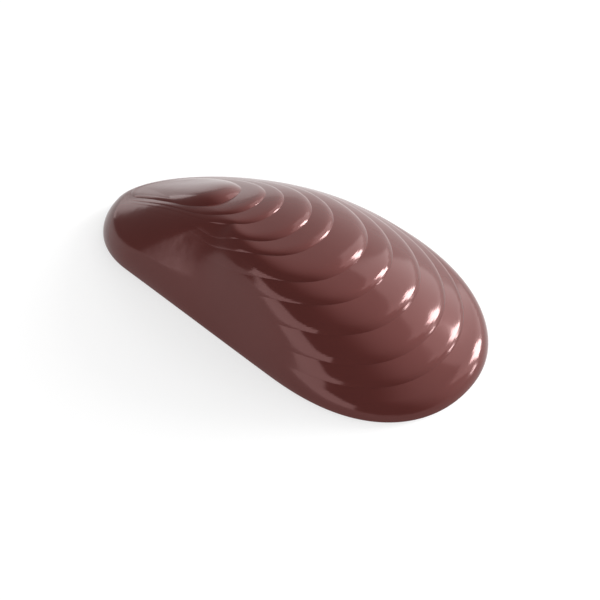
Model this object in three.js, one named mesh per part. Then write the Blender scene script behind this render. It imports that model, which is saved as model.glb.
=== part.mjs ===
/**
 * Moulded mussel shell in chocolate: one valve, cast in one piece, flat underneath.
 *
 * Millimetres, +Z up. X runs from the umbo, the narrow nose at -X, to the broad
 * tail at +X. The straight edge is on the -Y side. The origin is the middle of the
 * bounding box, on the flat base.
 *
 * The top is a dome over the outline, with a stepped terrace for each year's growth.
 * The creases between terraces follow growth lines: copies of the outline shrunk towards
 * the umbo, where growth 0 is the umbo itself and growth 1 is the rim.
 */
import * as THREE from 'three';

// Outline seen from above, anticlockwise from the tip of the nose: one straight edge, and
// curves between the places where the outline is furthest out. Each knot has its heading
// in degrees and how far its curve handles reach before and after it.
const LENGTH = 60;
const WIDTH = 34.2;
const EDGE_SLOPE = -11.5;
const KNOTS = Object.values({
  nose: { at: [-LENGTH / 2, -1], heading: -90, before: 6.5, after: 5.2 },
  edgeStart: { at: [-21.5, -10.4], heading: EDGE_SLOPE, before: 4.5, after: 9 },
  edgeEnd: { at: [6, -16.1], heading: EDGE_SLOPE, before: 9, after: 3 },
  front: { at: [14.5, -WIDTH / 2], heading: 0, before: 3, after: 9.3 },
  tail: { at: [LENGTH / 2, -3], heading: 90, before: 9, after: 11.8 },
  back: { at: [1, WIDTH / 2], heading: 180, before: 16.5, after: 15.2 },
});

// Dome: a crowned cap that falls away in every direction, set on a wall that rounds
// up from the rim. Fullness keeps it high near the crown, slack lets it sink into a
// low skirt near the rim. The nose adds to the wall, and its power keeps that to the nose.
const DOME_HEIGHT = 13.1;
const CROWN = new THREE.Vector2(-6, -5.5);
const FULLNESS = { tail: 3, nose: 1.5 };
const SLACK = { tail: 1.5, nose: 1.1, side: 0.2 };
const RIM_WALL = { height: 1.5, width: 2 };
const NOSE_WALL = { height: 0.9, width: 0.4, power: 3 };

// Growth lines. The creases are given by how far they lie from the umbo along the long
// axis, which runs to the tail tip. Each terrace leaves one crease nearly level, arches
// over and rolls down to the next, so its height is a share of its width: the step slope
// is how steeply it leaves the crease, and the roll power is how late it turns down.
const UMBO = new THREE.Vector2(-26.5, 1);
const TWIST = THREE.MathUtils.degToRad(0.75);
const CREASE_DISTANCES = [16.5, 20.5, 23.5, 28, 31.5, 37, 41, 45.5, 49.5, 52.5];
const LONG_AXIS = LENGTH / 2 - UMBO.x;
const CREASES = CREASE_DISTANCES.map((distance) => distance / LONG_AXIS);
const STEP_SLOPE = 0.16;
const STEP_GROWTH = 0.25;
const ROLL = 8;

// The steps die out on the straight flank, below a keel line seen from above.
const KEEL_START = new THREE.Vector2(-27, -3.7);
const KEEL_END = new THREE.Vector2(9, -15.7);
const KEEL_FADE = 3;

// Mesh density. The places of the loops on each terrace crowd towards its outer crease.
const SPOKES = 84;
const RIM_TABLE_POINTS = 480;
const UMBO_LOOPS = [0.015, 0.05, 0.1, 0.16, 0.22, 0.265];
const TERRACE_LOOPS = [0.35, 0.7, 0.9];
const RIM_LOOPS = [0.945, 0.965, 0.98, 0.99, 0.996, 1];

const CHOCOLATE = new THREE.MeshStandardMaterial({
  name: 'chocolate',
  color: new THREE.Color(0.11, 0.045, 0.04),
  roughness: 0.2,
  metalness: 0,
});

const smooth = (t) => THREE.MathUtils.smoothstep(t, 0, 1);

/** The outline as one closed path of cubic curves. */
function outlinePath() {
  const handle = ({ at, heading }, reach) => {
    const turn = THREE.MathUtils.degToRad(heading);
    return [at[0] + reach * Math.cos(turn), at[1] + reach * Math.sin(turn)];
  };
  const path = new THREE.Path().moveTo(...KNOTS[0].at);
  KNOTS.forEach((knot, i) => {
    const next = KNOTS[(i + 1) % KNOTS.length];
    path.bezierCurveTo(...handle(knot, knot.after), ...handle(next, -next.before), ...next.at);
  });
  return path;
}

const outline = outlinePath();

/** Evenly spaced places on the outline, each with its angle and distance from the crown. */
function sampleOutline(count) {
  return outline.getSpacedPoints(count).slice(0, -1).map((point) => {
    const arm = point.clone().sub(CROWN);
    return { point, angle: arm.angle(), reach: arm.length() };
  });
}

const rimTable = sampleOutline(RIM_TABLE_POINTS).sort((a, b) => a.angle - b.angle);

/** Distance from the crown to the rim in a direction given as an angle in 0..2 PI. */
function crownToRim(angle) {
  const found = rimTable.findIndex((row) => row.angle >= angle);
  const next = found < 0 ? 0 : found;
  const high = rimTable[next];
  const low = rimTable[(next + rimTable.length - 1) % rimTable.length];
  const turn = 2 * Math.PI;
  const gap = (high.angle - low.angle + turn) % turn;
  const part = ((angle - low.angle + turn) % turn) / gap;
  return THREE.MathUtils.lerp(low.reach, high.reach, part);
}

/** Height of the smooth dome above the base. */
function domeHeight(point) {
  const arm = point.clone().sub(CROWN);
  const angle = arm.angle();
  const reach = crownToRim(angle);
  const out = Math.min(arm.length() / reach, 1);
  const noseward = (1 - Math.cos(angle)) / 2;
  const fullness = THREE.MathUtils.lerp(FULLNESS.tail, FULLNESS.nose, noseward);
  const slack = THREE.MathUtils.lerp(SLACK.tail, SLACK.nose, noseward)
    - SLACK.side * Math.sin(angle);
  const nosePart = noseward ** NOSE_WALL.power;
  const wallHeight = RIM_WALL.height + NOSE_WALL.height * nosePart;
  const wallWidth = RIM_WALL.width + NOSE_WALL.width * nosePart;
  const inward = Math.min((1 - out) * reach / wallWidth, 1);
  const wall = wallHeight * Math.sqrt(1 - (1 - inward) ** 2);
  return wall + (DOME_HEIGHT - wallHeight) * (1 - out ** fullness) ** slack;
}

/** Height of a terrace above its two creases, in units of growth, for a step slope of 1. */
function stepHeight(growth) {
  const outer = CREASES.find((crease) => crease >= growth) ?? 1;
  const inner = CREASES.filter((crease) => crease < growth).pop() ?? 0;
  const part = (growth - inner) / (outer - inner);
  const rise = inner === 0 ? part ** 2 : part;
  return (outer - inner) * rise * (1 - part ** (ROLL - 1));
}

/** Share of the full step height at a place: none below the keel line. */
function keelFade(point) {
  const along = KEEL_END.clone().sub(KEEL_START).normalize();
  const above = along.cross(point.clone().sub(KEEL_START));
  return smooth(above / KEEL_FADE);
}

/** A rim sample carried back along its growth line. */
function growthPoint(rimPoint, growth) {
  return rimPoint.clone().sub(UMBO)
    .rotateAround(new THREE.Vector2(), TWIST * (1 - growth))
    .multiplyScalar(growth)
    .add(UMBO);
}

/** How far growth lines advance outwards at each rim sample, per unit of growth. */
function advances(rim) {
  return rim.map((point, i) => {
    const after = rim[(i + 1) % rim.length];
    const before = rim[(i + rim.length - 1) % rim.length];
    const along = after.clone().sub(before).normalize();
    return point.clone().sub(UMBO).cross(along);
  });
}

/** Growth of every loop of the mesh, from the umbo to the rim. */
function loopGrowths() {
  const terraces = CREASES.slice(1).flatMap((outer, i) => [
    ...TERRACE_LOOPS.map((part) => THREE.MathUtils.lerp(CREASES[i], outer, part)),
    outer,
  ]);
  return [...UMBO_LOOPS, CREASES[0], ...terraces, ...RIM_LOOPS];
}

/** The closed solid: umbo pole, loops out to the rim, and a flat fan for the base. */
function shellGeometry() {
  const rim = sampleOutline(SPOKES).map((sample) => sample.point);
  const reach = advances(rim);
  const growths = loopGrowths();
  const spokes = rim.length;
  const middle = new THREE.Box2().setFromPoints(rim).getCenter(new THREE.Vector2());

  const positions = [];
  const place = (point, height) => {
    positions.push(point.x - middle.x, point.y - middle.y, height);
  };
  place(UMBO, domeHeight(UMBO));
  growths.forEach((growth) => {
    rim.forEach((rimPoint, i) => {
      const point = growthPoint(rimPoint, growth);
      const slope = STEP_SLOPE * growth ** STEP_GROWTH * keelFade(point);
      const relief = slope * reach[i] * stepHeight(growth);
      place(point, growth === 1 ? 0 : domeHeight(point) + relief);
    });
  });
  place(middle, 0);

  const faces = [];
  const vertex = (loop, spoke) => 1 + loop * spokes + (spoke % spokes);
  const outer = growths.length - 1;
  const base = 1 + growths.length * spokes;
  for (let spoke = 0; spoke < spokes; spoke += 1) {
    faces.push(0, vertex(0, spoke), vertex(0, spoke + 1));
    for (let loop = 0; loop < outer; loop += 1) {
      const [a, b] = [vertex(loop, spoke), vertex(loop, spoke + 1)];
      const [c, d] = [vertex(loop + 1, spoke + 1), vertex(loop + 1, spoke)];
      faces.push(a, d, c, a, c, b);
    }
    faces.push(vertex(outer, spoke + 1), vertex(outer, spoke), base);
  }

  const geometry = new THREE.BufferGeometry();
  geometry.setAttribute('position', new THREE.Float32BufferAttribute(positions, 3));
  geometry.setIndex(faces);
  geometry.computeVertexNormals();
  return geometry;
}

const shell = new THREE.Mesh(shellGeometry(), CHOCOLATE);
shell.name = 'chocolate_shell';

const mussel = new THREE.Group();
mussel.add(shell);

export default mussel;
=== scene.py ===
"""Looks of a mussel shell moulded in milk chocolate.

The chocolate is one poured piece: a glossy dome with stepped growth terraces over a flat,
scraped underside. X runs from the umbo, the narrow nose at -X, to the broad tail at +X.
The straight edge is on the -Y side. The classes hold their sizes in millimetres.
"""

from __future__ import annotations

import logging
import math
from dataclasses import dataclass
from enum import Enum
from typing import ClassVar

import bmesh
import bpy
import numpy as np
from mathutils import Matrix, Vector


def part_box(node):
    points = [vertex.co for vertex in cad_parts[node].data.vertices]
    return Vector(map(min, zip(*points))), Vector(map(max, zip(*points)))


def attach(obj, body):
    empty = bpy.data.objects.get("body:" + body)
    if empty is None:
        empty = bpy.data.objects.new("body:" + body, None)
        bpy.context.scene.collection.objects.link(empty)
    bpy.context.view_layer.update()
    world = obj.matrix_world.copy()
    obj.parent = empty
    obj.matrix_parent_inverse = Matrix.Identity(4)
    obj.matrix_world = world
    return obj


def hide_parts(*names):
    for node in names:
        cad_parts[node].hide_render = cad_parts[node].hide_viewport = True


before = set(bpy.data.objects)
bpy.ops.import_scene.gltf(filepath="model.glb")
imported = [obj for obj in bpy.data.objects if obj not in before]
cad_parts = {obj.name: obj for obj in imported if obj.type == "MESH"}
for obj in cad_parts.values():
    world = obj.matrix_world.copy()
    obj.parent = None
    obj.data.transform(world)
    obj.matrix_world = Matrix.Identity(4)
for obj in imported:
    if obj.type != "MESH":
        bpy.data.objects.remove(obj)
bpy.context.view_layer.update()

LOG = logging.getLogger("mussel")
CAD_NODE = "chocolate_shell"
BODY = "root"
MM = 0.001

Pair = tuple[float, float]
Colour = tuple[float, float, float]


@dataclass(frozen=True)
class Blend:
    """A size that changes from the tail of the shell to its nose."""

    tail: float
    nose: float

    def at(self, noseward: np.ndarray) -> np.ndarray:
        """Value where noseward is 0 at the tail and 1 at the nose."""
        return self.tail + (self.nose - self.tail) * noseward


@dataclass(frozen=True)
class Knot:
    """A place on the outline, with its heading and the reach of its two curve handles."""

    x: float
    y: float
    heading: float
    before: float
    after: float

    def handle(self, reach: float) -> np.ndarray:
        """The point that far along the knot's heading."""
        turn = math.radians(self.heading)
        return np.array([self.x + reach * math.cos(turn), self.y + reach * math.sin(turn)])


@dataclass(frozen=True)
class GrowthForm:
    """The moulded surface, as a height over every point inside the outline.

    Growth lines are copies of the outline shrunk towards the umbo: growth 0 is the umbo
    and growth 1 is the rim. Each terrace leaves one crease nearly level, arches over and
    rolls down to the next.
    """

    length: float = 60.0
    width: float = 34.2
    edge_slope: float = -11.5
    dome_height: float = 13.1
    crown: Pair = (-6, -5.5)
    fullness: Blend = Blend(3.0, 1.5)
    slack: Blend = Blend(1.5, 1.1)
    side_slack: float = 0.2
    wall_height: Blend = Blend(1.5, 2.4)
    wall_width: Blend = Blend(2.0, 2.4)
    nose_wall_power: float = 3.0
    umbo: Pair = (-26.5, 1)
    twist: float = math.radians(0.75)
    crease_distances: tuple[float, ...] = (16.5, 20.5, 23.5, 28, 31.5, 37, 41, 45.5, 49.5, 52.5)
    step_slope: float = 0.16
    step_growth: float = 0.25
    roll: float = 8.0
    keel: tuple[Pair, Pair] = ((-27, -3.7), (9, -15.7))
    keel_fade: float = 3.0
    curve_steps: int = 200
    table_points: int = 480

    def knots(self) -> tuple[Knot, ...]:
        """The outline's knots: the straight edge, and the places where it is furthest out.

        Returns:
            The knots, anticlockwise from the tip of the nose.
        """
        end, side = self.length / 2, self.width / 2
        return (
            Knot(-end, -1, -90, 6.5, 5.2),
            Knot(-21.5, -10.4, self.edge_slope, 4.5, 9),
            Knot(6, -16.1, self.edge_slope, 9, 3),
            Knot(14.5, -side, 0, 3, 9.3),
            Knot(end, -3, 90, 9, 11.8),
            Knot(1, side, 180, 16.5, 15.2),
        )

    @property
    def creases(self) -> tuple[float, ...]:
        """Growth of each crease, from its distance along the long axis."""
        long_axis = self.length / 2 - self.umbo[0]
        return tuple(distance / long_axis for distance in self.crease_distances)

    def outline(self) -> np.ndarray:
        """Closely spaced points on the outline, which is a cubic curve from knot to knot.

        Returns:
            One row of x and y for each point.
        """
        knots = self.knots()
        t = np.linspace(0, 1, self.curve_steps, endpoint=False)[:, None]
        weights = ((1 - t) ** 3, 3 * t * (1 - t) ** 2, 3 * t**2 * (1 - t), t**3)
        stretches = []
        for start, end in zip(knots, (*knots[1:], knots[0])):
            leaving, arriving = start.handle(start.after), end.handle(-end.before)
            corners = (start.handle(0), leaving, arriving, end.handle(0))
            stretches.append(sum(weight * corner for weight, corner in zip(weights, corners)))
        return np.vstack(stretches)

    def rim(self, count: int) -> np.ndarray:
        """Evenly spaced points round the outline.

        Args:
            count: how many points, starting at the tip of the nose.

        Returns:
            One row of x and y for each point.
        """
        line = self.outline()
        closed = np.vstack([line, line[:1]])
        travelled = np.append(0, np.cumsum(np.hypot(*np.diff(closed, axis=0).T)))
        places = np.linspace(0, travelled[-1], count, endpoint=False)
        return np.column_stack([np.interp(places, travelled, side) for side in closed.T])

    def middle(self) -> np.ndarray:
        """Middle of the outline's own box."""
        rim = self.rim(self.table_points)
        return (rim.min(axis=0) + rim.max(axis=0)) / 2

    def carried(self, rim: np.ndarray, growth: float) -> np.ndarray:
        """Rim points carried back along their growth lines.

        Args:
            rim: points on the outline.
            growth: how far each goes, from 0 at the umbo to 1 at the rim.

        Returns:
            One row of x and y for each rim point.
        """
        turn = self.twist * (1 - growth)
        spin = np.array([[math.cos(turn), math.sin(turn)], [-math.sin(turn), math.cos(turn)]])
        return np.array(self.umbo) + growth * (rim - np.array(self.umbo)) @ spin

    def advances(self, rim: np.ndarray) -> np.ndarray:
        """How far growth lines advance outwards, for one unit of growth.

        Args:
            rim: points on the outline.

        Returns:
            The advance at each rim point.
        """
        along = np.roll(rim, -1, axis=0) - np.roll(rim, 1, axis=0)
        along /= np.linalg.norm(along, axis=1)[:, None]
        arm = rim - np.array(self.umbo)
        return arm[:, 0] * along[:, 1] - arm[:, 1] * along[:, 0]

    def dome(self, points: np.ndarray) -> np.ndarray:
        """Height of the smooth dome, before its steps.

        Args:
            points: one row of x and y for each place inside the outline.

        Returns:
            The height at each place.
        """
        table = self.rim(self.table_points) - np.array(self.crown)
        arm = points - np.array(self.crown)
        angle = np.arctan2(arm[:, 1], arm[:, 0])
        table_angle = np.arctan2(table[:, 1], table[:, 0])
        reach = np.interp(angle, table_angle, np.hypot(*table.T), period=2 * math.pi)
        out = np.minimum(np.hypot(*arm.T) / reach, 1)
        noseward = (1 - np.cos(angle)) / 2
        slack = self.slack.at(noseward) - self.side_slack * np.sin(angle)
        wall_share = noseward**self.nose_wall_power
        wall_height = self.wall_height.at(wall_share)
        inward = np.minimum((1 - out) * reach / self.wall_width.at(wall_share), 1)
        wall = wall_height * np.sqrt(1 - (1 - inward) ** 2)
        rise = (1 - out ** self.fullness.at(noseward)) ** slack
        return wall + (self.dome_height - wall_height) * rise

    def step(self, growth: float) -> float:
        """Height of a terrace above its two creases, for a starting slope of 1.

        Args:
            growth: place across the terraces, from 0 at the umbo to 1 at the rim.

        Returns:
            The height, in the same unit as growth.
        """
        marks = (0.0, *self.creases, 1.0)
        outer = next(mark for mark in marks[1:] if mark >= growth)
        inner = marks[marks.index(outer) - 1]
        part = (growth - inner) / (outer - inner)
        rise = part**2 if inner == 0 else part
        return (outer - inner) * rise * (1 - part ** (self.roll - 1))

    def keel_share(self, points: np.ndarray) -> np.ndarray:
        """Share of the full step height. The steps die out below the keel line.

        Args:
            points: one row of x and y for each place.

        Returns:
            The share at each place, from 0 to 1.
        """
        start, end = (np.array(point, float) for point in self.keel)
        along = (end - start) / np.linalg.norm(end - start)
        arm = points - start
        part = np.clip((along[0] * arm[:, 1] - along[1] * arm[:, 0]) / self.keel_fade, 0, 1)
        return part * part * (3 - 2 * part)

    def loop(self, rim: np.ndarray, growth: float) -> np.ndarray:
        """One growth line on the surface.

        Args:
            rim: points on the outline.
            growth: the line's growth, where 1 is the rim itself, on the base.

        Returns:
            One row of x, y and height for each rim point.
        """
        points = self.carried(rim, growth)
        slope = self.step_slope * growth**self.step_growth * self.keel_share(points)
        relief = slope * self.advances(rim) * self.step(growth)
        height = self.dome(points) + relief if growth < 1 else np.zeros(len(rim))
        return np.column_stack([points, height])


class Side(Enum):
    """The two faces of the chocolate, numbered as its material slots."""

    TOP = 0
    BASE = 1


@dataclass(frozen=True)
class Grain:
    """Soft random variation over a surface, in the object's own coordinates.

    The variation is nearly always between its low and high, which stand for 0 and 1.
    """

    LOW: ClassVar[float] = 0.3
    HIGH: ClassVar[float] = 0.7

    size: float
    detail: float
    stretch: tuple[float, float, float] = (1, 1, 1)

    def socket(self, tree: bpy.types.NodeTree) -> bpy.types.NodeSocket:
        """Adds the noise to a node tree.

        Args:
            tree: the material's node tree.

        Returns:
            The socket that carries the variation.
        """
        place = tree.nodes.new("ShaderNodeTexCoord")
        mapping = tree.nodes.new("ShaderNodeMapping")
        noise = tree.nodes.new("ShaderNodeTexNoise")
        mapping.inputs["Scale"].default_value = self.stretch
        noise.inputs["Scale"].default_value = 1 / (self.size * MM)
        noise.inputs["Detail"].default_value = self.detail
        tree.links.new(place.outputs["Object"], mapping.inputs["Vector"])
        tree.links.new(mapping.outputs["Vector"], noise.inputs["Vector"])
        return noise.outputs["Fac"]


@dataclass(frozen=True)
class Finish:
    """A chocolate surface: two close shades, a range of roughness and a fine bump."""

    name: str
    dark: Colour
    light: Colour
    shade_grain: Grain
    roughness: Pair
    roughness_grain: Grain
    bump_height: float
    bump_grain: Grain
    ior: float = 1.5
    tint: Colour = (1.0, 0.58, 0.57)

    def material(self) -> bpy.types.Material:
        """Makes the Blender material of this finish.

        Returns:
            The material.
        """
        made = bpy.data.materials.new(self.name)
        made.use_nodes = True
        tree = made.node_tree
        shader = tree.nodes["Principled BSDF"]
        shader.inputs["IOR"].default_value = self.ior
        shader.inputs["Specular Tint"].default_value = (*self.tint, 1)
        self._shade(tree, shader)
        self._gloss(tree, shader)
        self._relief(tree, shader)
        return made

    def _shade(self, tree: bpy.types.NodeTree, shader: bpy.types.Node) -> None:
        """Mixes the two shades by their grain.

        Args:
            tree: the material's node tree.
            shader: its Principled shader.
        """
        ramp = tree.nodes.new("ShaderNodeValToRGB")
        ramp.color_ramp.elements[0].position = Grain.LOW
        ramp.color_ramp.elements[0].color = (*self.dark, 1)
        ramp.color_ramp.elements[1].position = Grain.HIGH
        ramp.color_ramp.elements[1].color = (*self.light, 1)
        tree.links.new(self.shade_grain.socket(tree), ramp.inputs["Fac"])
        tree.links.new(ramp.outputs["Color"], shader.inputs["Base Color"])

    def _gloss(self, tree: bpy.types.NodeTree, shader: bpy.types.Node) -> None:
        """Varies the roughness over its range.

        Args:
            tree: the material's node tree.
            shader: its Principled shader.
        """
        spread = tree.nodes.new("ShaderNodeMapRange")
        spread.inputs["From Min"].default_value = Grain.LOW
        spread.inputs["From Max"].default_value = Grain.HIGH
        spread.inputs["To Min"].default_value = self.roughness[0]
        spread.inputs["To Max"].default_value = self.roughness[1]
        tree.links.new(self.roughness_grain.socket(tree), spread.inputs["Value"])
        tree.links.new(spread.outputs["Result"], shader.inputs["Roughness"])

    def _relief(self, tree: bpy.types.NodeTree, shader: bpy.types.Node) -> None:
        """Adds the fine bump.

        Args:
            tree: the material's node tree.
            shader: its Principled shader.
        """
        bump = tree.nodes.new("ShaderNodeBump")
        bump.inputs["Strength"].default_value = 1.0
        bump.inputs["Distance"].default_value = self.bump_height * MM
        tree.links.new(self.bump_grain.socket(tree), bump.inputs["Height"])
        tree.links.new(bump.outputs["Normal"], shader.inputs["Normal"])


GLOSSY_TOP = Finish(
    name="tempered_milk_chocolate",
    dark=(0.082, 0.017, 0.014),
    light=(0.092, 0.02, 0.017),
    shade_grain=Grain(size=14, detail=3),
    roughness=(0.1, 0.17),
    roughness_grain=Grain(size=5, detail=4),
    bump_height=0.02,
    bump_grain=Grain(size=3.5, detail=2),
)
SCRAPED_BASE = Finish(
    name="scraped_chocolate",
    dark=(0.086, 0.022, 0.018),
    light=(0.112, 0.034, 0.028),
    shade_grain=Grain(size=9, detail=2, stretch=(0.3, 1, 1)),
    roughness=(0.36, 0.54),
    roughness_grain=Grain(size=4, detail=2, stretch=(0.15, 1, 1)),
    bump_height=0.06,
    bump_grain=Grain(size=2.5, detail=2, stretch=(0.12, 1, 1)),
)


@dataclass
class MusselShell:
    """The chocolate itself: one solid with a terraced top and a flat base.

    Loops of the mesh are a terrace step of growth apart. Beside each crease the lip loops
    close in on it, each a lip ratio of the last one's distance away, and the rim loops
    follow the round of the wall across the rim band.
    """

    form: GrowthForm
    finishes: dict[Side, Finish]
    name: str = "mussel_shell"
    spokes: int = 240
    terrace_step: float = 0.004
    lip_loops: int = 6
    lip_ratio: float = 0.5
    rim_band: float = 0.022
    rim_loops: int = 16

    def growths(self) -> list[float]:
        """Growth of every loop of the mesh inside the rim.

        Returns:
            The growths, from just inside the rim to just outside the umbo.
        """
        kept = []
        marks = (0.0, *self.form.creases, 1 - self.rim_band)
        for start, end in zip(marks, marks[1:]):
            count = round((end - start) / self.terrace_step)
            kept += [start + (end - start) * n / count for n in range(1, count + 1)]
            last = (end - start) / count
            kept += [end - last * self.lip_ratio**n for n in range(1, self.lip_loops)]
        bends = [math.pi / 2 * n / self.rim_loops for n in range(1, self.rim_loops)]
        kept += [1 - self.rim_band * (1 - math.cos(bend)) for bend in bends]
        return sorted(kept, reverse=True)

    def mesh(self, origin: Vector) -> bpy.types.Mesh:
        """Builds the closed mesh from a disc, by extruding its edge inwards over the dome.

        Args:
            origin: where the middle of the base goes, in metres.

        Returns:
            The mesh, with each face's material slot set by its side.
        """
        rim = self.form.rim(self.spokes)
        shift = origin / MM - Vector((*self.form.middle(), 0))
        bm = bmesh.new()
        spoke = bm.verts.layers.int.new("spoke")
        ring = bmesh.ops.create_circle(bm, cap_ends=True, segments=self.spokes, radius=1)["verts"]
        for index, vertex in enumerate(ring):
            vertex[spoke] = index
        self._lay(ring, spoke, self.form.loop(rim, 1.0), shift)
        bm.faces.ensure_lookup_table()
        bm.faces[0].material_index = Side.BASE.value
        edges = bm.edges[:]
        for edge in edges:
            edge.smooth = False
        for growth in self.growths():
            made = bmesh.ops.extrude_edge_only(bm, edges=edges)["geom"]
            ring = [part for part in made if isinstance(part, bmesh.types.BMVert)]
            inner = set(ring)
            made_edges = [part for part in made if isinstance(part, bmesh.types.BMEdge)]
            edges = [edge for edge in made_edges if inner.issuperset(edge.verts)]
            self._lay(ring, spoke, self.form.loop(rim, growth), shift)
            for face in (part for part in made if isinstance(part, bmesh.types.BMFace)):
                face.smooth = True
                face.material_index = Side.TOP.value
        cap = bmesh.ops.contextual_create(bm, geom=edges)["faces"]
        pole = bmesh.ops.poke(bm, faces=cap)
        for face in pole["faces"]:
            face.smooth = True
            face.material_index = Side.TOP.value
        bmesh.ops.recalc_face_normals(bm, faces=bm.faces[:])
        bmesh.ops.transform(bm, matrix=Matrix.Scale(MM, 4), verts=bm.verts[:])
        mesh = bpy.data.meshes.new(self.name)
        bm.to_mesh(mesh)
        bm.free()
        return mesh

    @staticmethod
    def _lay(
        ring: list[bmesh.types.BMVert],
        spoke: bmesh.types.BMLayerItem,
        places: np.ndarray,
        shift: Vector,
    ) -> None:
        """Moves each vertex of a ring to the place of its spoke."""
        for vertex in ring:
            vertex.co = Vector(places[vertex[spoke]]) + shift

    def build(self) -> bpy.types.Object:
        """Makes the piece, dresses it and ties it to the CAD body.

        Returns:
            The finished object.
        """
        low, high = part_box(CAD_NODE)
        origin = Vector(((low.x + high.x) / 2, (low.y + high.y) / 2, low.z))
        piece = bpy.data.objects.new(self.name, self.mesh(origin))
        bpy.context.scene.collection.objects.link(piece)
        for side in Side:
            piece.data.materials.append(self.finishes[side].material())
        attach(piece, BODY)
        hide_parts(CAD_NODE)
        return piece


@dataclass(frozen=True)
class Softbox:
    """A lit panel that faces the shell, with its angles in degrees."""

    name: str
    azimuth: float
    elevation: float
    distance: float
    size: Pair
    radiance: float

    def watts(self) -> float:
        """Power that gives the panel its radiance."""
        return self.radiance * math.pi * self.size[0] * self.size[1] * MM * MM


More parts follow.
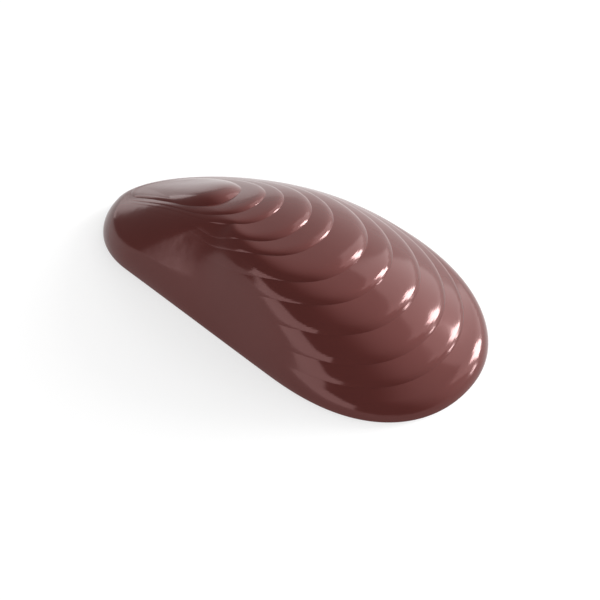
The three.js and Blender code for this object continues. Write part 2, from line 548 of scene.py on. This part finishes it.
@dataclass
class Studio:
    """Floor, soft lights and the camera. Angles are in degrees, azimuths from +X."""

    floor_size: float = 3000.0
    floor_gap: float = 0.05
    floor_colour: Colour = (0.35, 0.35, 0.35)
    floor_glow: float = 0.65
    floor_roughness: float = 0.9
    sky: float = 0.3
    glow: float = 1.4
    glow_azimuth: float = 65.0
    glow_elevation: float = 20.0
    glow_reach: float = 85.0
    softboxes: tuple[Softbox, ...] = (
        Softbox("key_softbox", 62, 20, 600, (150, 250), 24.0),
        Softbox("rim_card", 43, 5, 400, (60, 55), 16.0),
        Softbox("right_panel", 70, 28, 900, (900, 700), 1.4),
        Softbox("left_panel", 252, 10, 400, (380, 170), 2.2),
        Softbox("nose_card", 159, 2, 300, (130, 60), 1.8),
    )
    camera_azimuth: float = 33.9
    camera_elevation: float = 45.0
    camera_distance: float = 450.0
    lens: float = 196.6
    sensor: float = 36.0
    clip: Pair = (50.0, 10000.0)
    aim: Pair = (0.51, -1.95)

    def build_floor(self) -> bpy.types.Object:
        """Makes a plain pale floor under the shell, which glows softly as a light table does.

        Returns:
            The floor.
        """
        bm = bmesh.new()
        bmesh.ops.create_grid(bm, x_segments=1, y_segments=1, size=self.floor_size * MM / 2)
        bmesh.ops.translate(bm, verts=bm.verts[:], vec=(0, 0, -self.floor_gap * MM))
        mesh = bpy.data.meshes.new("floor")
        bm.to_mesh(mesh)
        bm.free()
        floor = bpy.data.objects.new("floor", mesh)
        bpy.context.scene.collection.objects.link(floor)
        paint = bpy.data.materials.new("floor_paint")
        paint.use_nodes = True
        shader = paint.node_tree.nodes["Principled BSDF"]
        shader.inputs["Base Color"].default_value = (*self.floor_colour, 1)
        shader.inputs["Roughness"].default_value = self.floor_roughness
        shader.inputs["Emission Color"].default_value = (1, 1, 1, 1)
        shader.inputs["Emission Strength"].default_value = self.floor_glow
        mesh.materials.append(paint)
        return floor

    def build_sky(self) -> None:
        """Even light from all round, with a soft glow on the side of the key light."""
        world = bpy.data.worlds.new("studio")
        world.use_nodes = True
        tree = world.node_tree
        place = tree.nodes.new("ShaderNodeTexCoord")
        facing = tree.nodes.new("ShaderNodeVectorMath")
        facing.operation = "DOT_PRODUCT"
        facing.inputs[1].default_value = self.direction(self.glow_azimuth, self.glow_elevation)
        ramp = tree.nodes.new("ShaderNodeMapRange")
        ramp.interpolation_type = "SMOOTHSTEP"
        ramp.inputs["From Min"].default_value = math.cos(math.radians(self.glow_reach))
        ramp.inputs["From Max"].default_value = 1.0
        ramp.inputs["To Min"].default_value = self.sky
        ramp.inputs["To Max"].default_value = self.sky + self.glow
        tree.links.new(place.outputs["Generated"], facing.inputs[0])
        tree.links.new(facing.outputs["Value"], ramp.inputs["Value"])
        tree.links.new(ramp.outputs["Result"], tree.nodes["Background"].inputs["Strength"])
        tree.nodes["Background"].inputs["Color"].default_value = (1, 1, 1, 1)
        bpy.context.scene.world = world

    @staticmethod
    def direction(azimuth: float, elevation: float) -> Vector:
        """Unit vector at an azimuth from +X and an elevation, both in degrees."""
        turn, lift = math.radians(azimuth), math.radians(elevation)
        level = math.cos(lift)
        return Vector((math.cos(turn) * level, math.sin(turn) * level, math.sin(lift)))

    def hang_lights(self) -> None:
        """Makes an area light for each softbox."""
        for box in self.softboxes:
            light = bpy.data.lights.new(box.name, "AREA")
            light.shape = "RECTANGLE"
            light.size, light.size_y = (side * MM for side in box.size)
            light.energy = box.watts()
            lamp = bpy.data.objects.new(box.name, light)
            away = self.direction(box.azimuth, box.elevation)
            lamp.location = away * box.distance * MM
            lamp.rotation_euler = away.to_track_quat("Z", "Y").to_euler()
            bpy.context.scene.collection.objects.link(lamp)

    def place_camera(self) -> None:
        """The camera, aimed a little off the middle of the shell."""
        back = self.direction(self.camera_azimuth - 90, self.camera_elevation)
        turn = back.to_track_quat("Z", "Y")
        aim = turn @ Vector((self.aim[0], self.aim[1], 0)) * MM
        data = bpy.data.cameras.new("camera")
        data.lens = self.lens
        data.sensor_width = self.sensor
        data.clip_start, data.clip_end = (reach * MM for reach in self.clip)
        camera = bpy.data.objects.new("camera", data)
        camera.location = aim + back * self.camera_distance * MM
        camera.rotation_euler = turn.to_euler()
        bpy.context.scene.collection.objects.link(camera)
        bpy.context.scene.camera = camera

    def build(self) -> None:
        """Sets the whole studio up."""
        self.build_floor()
        self.build_sky()
        self.hang_lights()
        self.place_camera()
        bpy.context.scene.view_settings.view_transform = "Standard"


def main() -> None:
    """Builds the shell and its studio."""
    logging.basicConfig(level=logging.INFO, format="%(name)s: %(message)s")
    shell = MusselShell(GrowthForm(), {Side.TOP: GLOSSY_TOP, Side.BASE: SCRAPED_BASE})
    piece = shell.build()
    LOG.info("%s: %d faces", piece.name, len(piece.data.polygons))
    Studio().build()
    LOG.info("studio: %d lights", len(bpy.data.lights))


if __name__ == "__main__":
    main()
